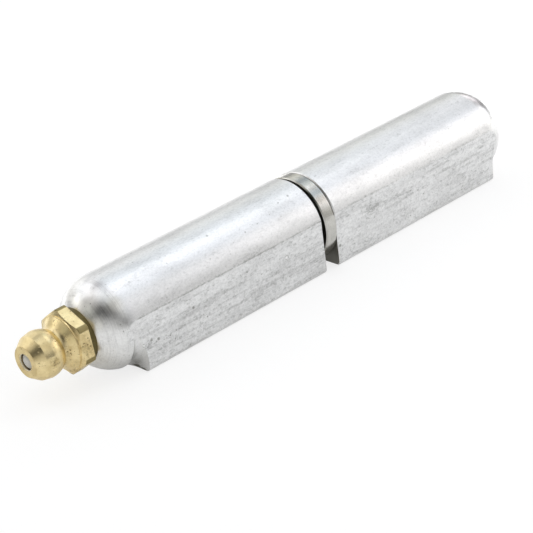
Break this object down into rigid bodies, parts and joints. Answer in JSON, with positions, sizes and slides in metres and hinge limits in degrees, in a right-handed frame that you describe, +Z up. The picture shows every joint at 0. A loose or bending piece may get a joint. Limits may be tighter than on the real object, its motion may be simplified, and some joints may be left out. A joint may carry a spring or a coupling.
{
  "type": "weld-on barrel hinge",
  "caption": "Drop-shaped weld-on barrel hinge that lifts off: two domed leaves on one pin, a thrust washer between them, and a grease fitting on the end of the socket leaf.",
  "frame": {"origin": "on the hinge axis, at the joint face of the pin leaf, where the thrust washer lies on it", "axes": "+X along the hinge axis, out of the dome of the pin leaf; +Z up, away from the weld wall that the hinge lies on; -Y out of the other weld wall"},
  "size_m": [0.0878, 0.0129, 0.0129],
  "materials": {
    "leaf_metal": "mill-finish drawn bar with fine lengthwise die lines, ends turned",
    "pin_steel": "ground",
    "washer_steel": "satin",
    "fitting_brass": "turned and milled, bright",
    "ball_steel": "polished",
    "spring_steel": "drawn wire"
  },
  "bodies": {
    "frame_side": {"pin_leaf": "leaf_metal", "hinge_pin": "pin_steel"},
    "washer": {"thrust_washer": "washer_steel"},
    "door_side": {"socket_leaf": "leaf_metal", "grease_fitting": "fitting_brass", "check_spring": "spring_steel"},
    "valve_ball": {"check_ball": "ball_steel"}
  },
  "joints": [
    {"name": "swing", "type": "hinge", "parent": "frame_side", "child": "washer", "pos_m": [0, 0, 0], "axis": [1, 0, 0], "continuous": true},
    {"name": "lift_off", "type": "slide", "parent": "washer", "child": "door_side", "axis": [-1, 0, 0], "range_m": [-0.00055, 0.02745]},
    {"name": "check_valve", "type": "slide", "parent": "door_side", "child": "valve_ball", "axis": [1, 0, 0], "range_m": [0, 0.0008], "stiffness_N_per_m": 250, "springref_m": -0.001, "deforming": ["check_spring"]}
  ]
}
